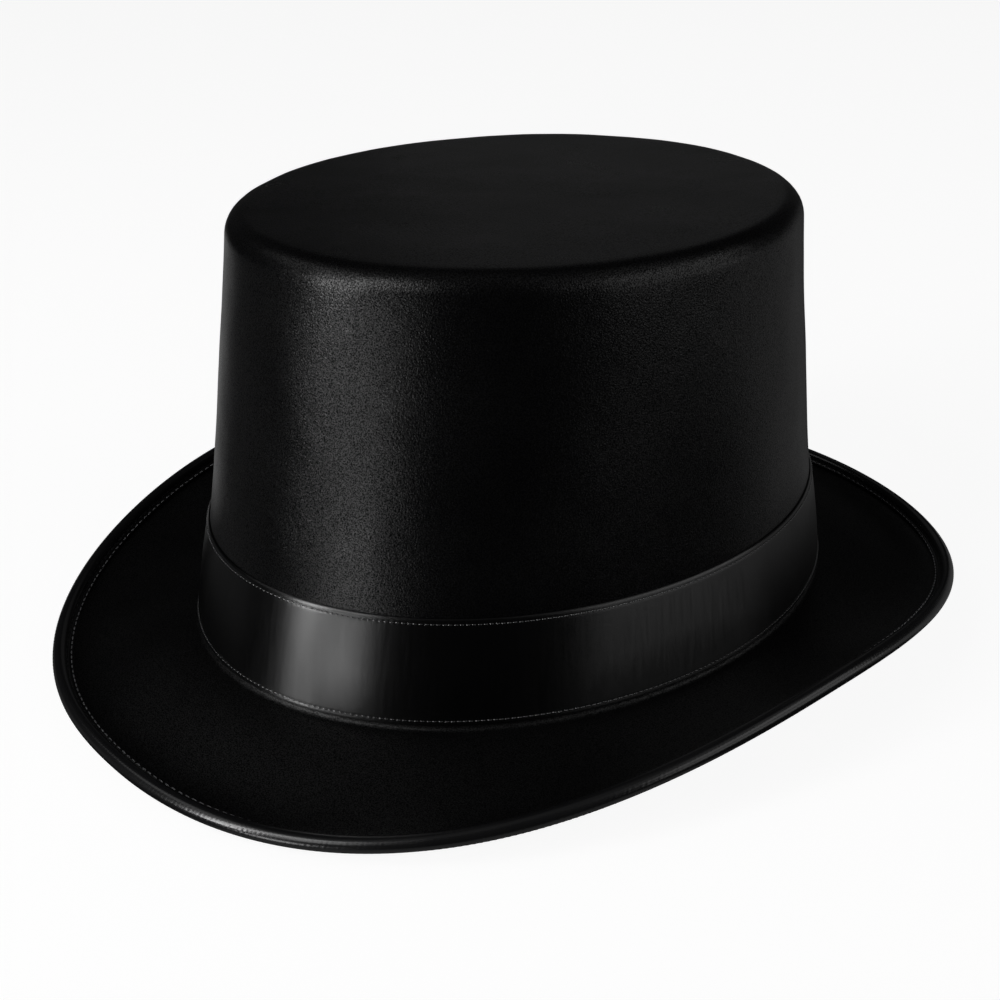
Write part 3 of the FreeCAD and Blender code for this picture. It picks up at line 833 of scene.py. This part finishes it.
def make_inner_bow():
    """Small ribbon bow over the foot of the sweatband's join."""
    low, high = (corner.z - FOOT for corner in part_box("sweatband_bow_loops"))
    half_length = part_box("sweatband_bow_loops")[1].x
    face = -leather_outset(0.0) + 0.3 * MM
    ply = 0.2 * MM

    def inside(along, height, outset):
        return back_point(along, height, -outset)
    loops = flat_loops(inside, half_length, low, high, face, 0.6 * MM, ply)
    bow = make_piece("sweatband_bow_loops_satin", [loops], BLACK_SATIN,
                     ["sweatband_bow_loops"])
    low, high = (corner.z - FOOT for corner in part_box("sweatband_bow_knot"))
    half_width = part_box("sweatband_bow_knot")[1].x
    knot = bow_knot(inside, half_width, low, high, face, 1.1 * MM, ply)
    make_piece("sweatband_bow_knot_satin", [knot], BLACK_SATIN,
               ["sweatband_bow_knot"])


LINING_FOOT = 8.0 * MM
LINING_SEAM = CROWN_HEIGHT - 8.0 * MM
SEAM_GAP = 0.15 * MM
LINING_OUTSET = -(FELT + 1.5 * GAP)


def make_lining_side():
    """Satin side lining, eased into its upper seam in soft upright gathers."""
    gathers = 96
    levels = 30
    rows = []
    for angle in around(gathers * 8):
        fullness = 0.6 + 0.4 * math.sin(5 * angle + 1.0)
        row = []
        for height in steps(LINING_FOOT, LINING_SEAM - SEAM_GAP, levels):
            share = (height - LINING_FOOT) / (LINING_SEAM - LINING_FOOT)
            depth = (0.05 + 0.45 * bump(share, 0.93, 0.28)) * MM * fullness
            sway = gathers * angle + 1.8 * math.sin(3 * angle) * (1 - share)
            fold = depth * (0.5 - 0.5 * math.cos(sway))
            row.append((height, LINING_OUTSET - LINING - fold))
        inner = [wall_point(angle, height, outset) for height, outset in row]
        outer = [wall_point(angle, height, outset + LINING * 0.9) for height, outset in row[::-1]]
        rows.append(inner + outer)
    side = make_piece("lining_side_satin", [skin(rows)], LINING_SATIN,
                      ["lining_side"])
    height = LINING_SEAM - LINING_FOOT


def make_lining_tip():
    """Satin under the flat top, puckered a little where it turns down to the seam."""
    top = CROWN_HEIGHT - FELT - 1.5 * GAP
    radius = SHOULDER - FELT
    low = LINING_SEAM + SEAM_GAP
    depth = 0.18 * MM
    outside = crown_rings(top, LINING_OUTSET, radius, steps(low, top - radius, 4), 14)
    inside = crown_rings(top - LINING, LINING_OUTSET - LINING, radius - LINING,
                         steps(low, top - radius, 4), 14)
    rows = ring_rows(outside[::-1] + inside, around(384))
    for row in rows:
        for number, point in enumerate(row):
            nearness = 1 - min(1.0, (point.z - FOOT - low) / (top - low))
            pucker = depth * nearness * (1 + math.cos(FULL_TURN * number / 8))
            inwards = Vector((-point.x, -point.y, 0)).normalized()
            row[number] = point + inwards * pucker
    tip = make_piece("lining_tip_satin", [drop_caps(skin(rows, ring=False))], LINING_SATIN,
                     ["lining_tip"])


def finish_metal():
    """The wire and its ferrule keep their CAD shape and get metal."""
    for name, material in (("brim_wire", WIRE_STEEL), ("wire_ferrule", FERRULE_BRASS)):
        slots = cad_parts[name].data.materials
        slots.clear()
        slots.append(material)


make_crown()
make_brim()
make_binding()
make_band()
make_bow()
make_sweatband()
make_reed()
make_inner_bow()
make_join_stitches()
make_lining_side()
make_lining_tip()
finish_metal()
# The binding's stitches use the light grey thread, a painted highlight on a black thread.
make_stitches("binding_thread", "binding_stitches", edge_row(3.2 * MM, 2.12 * MM),
              BINDING_STITCHES, 1.7 * MM, EDGING_THREAD_PAINTED_LIGHT)
for level, margin in (("upper", BAND_HEIGHT - STITCH_MARGIN), ("lower", STITCH_MARGIN)):
    make_stitches(f"band_{level}_thread", f"band_{level}_stitches",
                  wall_row(margin, band_outset(margin) + 0.06 * MM), BAND_STITCHES, 1.15 * MM)
seam_face = LINING_OUTSET - LINING - THREAD
leather_line = CROWN_EDGE + 2.0 * MM
leather_face = leather_outset(leather_line) - THREAD / 2
make_stitches("lining_seam_thread", "lining_seam_stitches",
              wall_row(LINING_SEAM, seam_face, -1), SEAM_STITCHES, 2.4 * MM)
make_stitches("sweatband_thread", "sweatband_stitches",
              wall_row(leather_line, leather_face, -1), LEATHER_STITCHES, 2.2 * MM)

# ------------------------------------------------------------------ studio


def add_floor():
    """A plain pale floor that gives the hat's gloss nothing to reflect."""
    half_size = 4.0
    work = bmesh.new()
    bmesh.ops.create_grid(work, x_segments=8, y_segments=8, size=half_size)
    mesh = bpy.data.meshes.new("floor")
    work.to_mesh(mesh)
    work.free()
    material, tree, shader = start_material("floor")
    set_shader(tree, shader, Base_Color=(0.25, 0.25, 0.25, 1), Roughness=0.9,
               Specular_IOR_Level=0.0, Emission_Color=(1, 1, 1, 1), Emission_Strength=0.92)
    mesh.materials.append(material)
    floor = bpy.data.objects.new("floor", mesh)
    floor.visible_glossy = False
    floor.visible_diffuse = False
    floor.visible_shadow = False
    bpy.context.scene.collection.objects.link(floor)


def away(azimuth, elevation):
    """The direction from the hat towards a compass angle and height, in degrees."""
    turn = math.radians(azimuth)
    rise = math.radians(elevation)
    return Vector((math.sin(turn) * math.cos(rise), -math.cos(turn) * math.cos(rise),
                   math.sin(rise)))


def soft_box(name, azimuth, elevation, width, height, radiance):
    """A rectangular light that faces the hat, seen in its gloss but not by the camera."""
    distance = 1.3
    hat_middle = Vector((0, 0, 0.07))
    light = bpy.data.lights.new(name, "AREA")
    light.shape = "RECTANGLE"
    light.size = width
    light.size_y = height
    light.energy = radiance * math.pi * width * height
    lamp = bpy.data.objects.new(name, light)
    direction = away(azimuth, elevation)
    lamp.location = hat_middle + direction * distance
    lamp.rotation_mode = "QUATERNION"
    lamp.rotation_quaternion = direction.to_track_quat("Z", "Y")
    lamp.visible_camera = False
    bpy.context.scene.collection.objects.link(lamp)


def add_camera():
    """The camera, front left of the wearer and a little above the hat."""
    aim = Vector((-4.1, -4.6, 31.5)) * MM
    distance = 0.454
    direction = away(48.36, 26.26)
    camera = bpy.data.objects.new("camera", bpy.data.cameras.new("camera"))
    camera.data.lens = 51.4
    camera.data.clip_start = 0.02
    camera.location = aim + direction * distance
    camera.rotation_mode = "QUATERNION"
    roll = Quaternion((0, 0, 1), math.radians(-0.33))
    camera.rotation_quaternion = direction.to_track_quat("Z", "Y") @ roll
    bpy.context.scene.collection.objects.link(camera)
    bpy.context.scene.camera = camera


def add_world():
    """White beyond the floor, and nearly no light from all round."""
    world = bpy.data.worlds.new("studio")
    world.use_nodes = True
    tree = world.node_tree
    dim = tree.nodes["Background"]
    dim.inputs["Color"].default_value = (0.007, 0.007, 0.0074, 1)
    white = add_node(tree, "ShaderNodeBackground", {"Color": (1, 1, 1, 1), "Strength": 0.95})
    sight = tree.nodes.new("ShaderNodeLightPath").outputs["Is Camera Ray"]
    mix = add_node(tree, "ShaderNodeMixShader", {0: sight, 1: dim.outputs[0],
                   2: white.outputs[0]})
    tree.links.new(mix.outputs[0], tree.nodes["World Output"].inputs["Surface"])
    bpy.context.scene.world = world


add_floor()
add_camera()
add_world()
soft_box("key_box", -10, 8, 0.22, 0.4, 8.4)
soft_box("key_low_box", 6, -15, 0.36, 0.36, 2.8)
soft_box("key_high_box", -12, 26, 0.22, 0.4, 6.0)
soft_box("key_crest_box", -5, 44, 0.4, 0.4, 2.4)
soft_box("key_spread_box", 9, 28, 0.3, 0.4, 1.6)
soft_box("bead_box", -38, 44, 1.0, 0.4, 0.45)
soft_box("side_box", 116, 30, 1.35, 0.5, 0.62)
soft_box("side_low_box", 116, 4, 1.35, 0.5, 0.5)
soft_box("side_high_box", 112, 56, 1.2, 0.5, 0.14)
soft_box("side_far_box", 152, -10, 0.5, 0.6, 0.14)
soft_box("bounce_box", 48, -64, 2.4, 1.6, 0.11)
soft_box("right_rim_box", 181, -14, 0.8, 0.9, 0.1)
soft_box("left_rim_box", -105, -24, 0.7, 0.8, 0.34)
soft_box("left_fill_box", -62, -14, 0.9, 0.6, 0.05)
soft_box("back_box", 222, 28, 0.6, 0.9, 0.04)
soft_box("top_box", 0, 80, 1.0, 1.0, 0.05)
bpy.context.scene.view_settings.view_transform = "Standard"
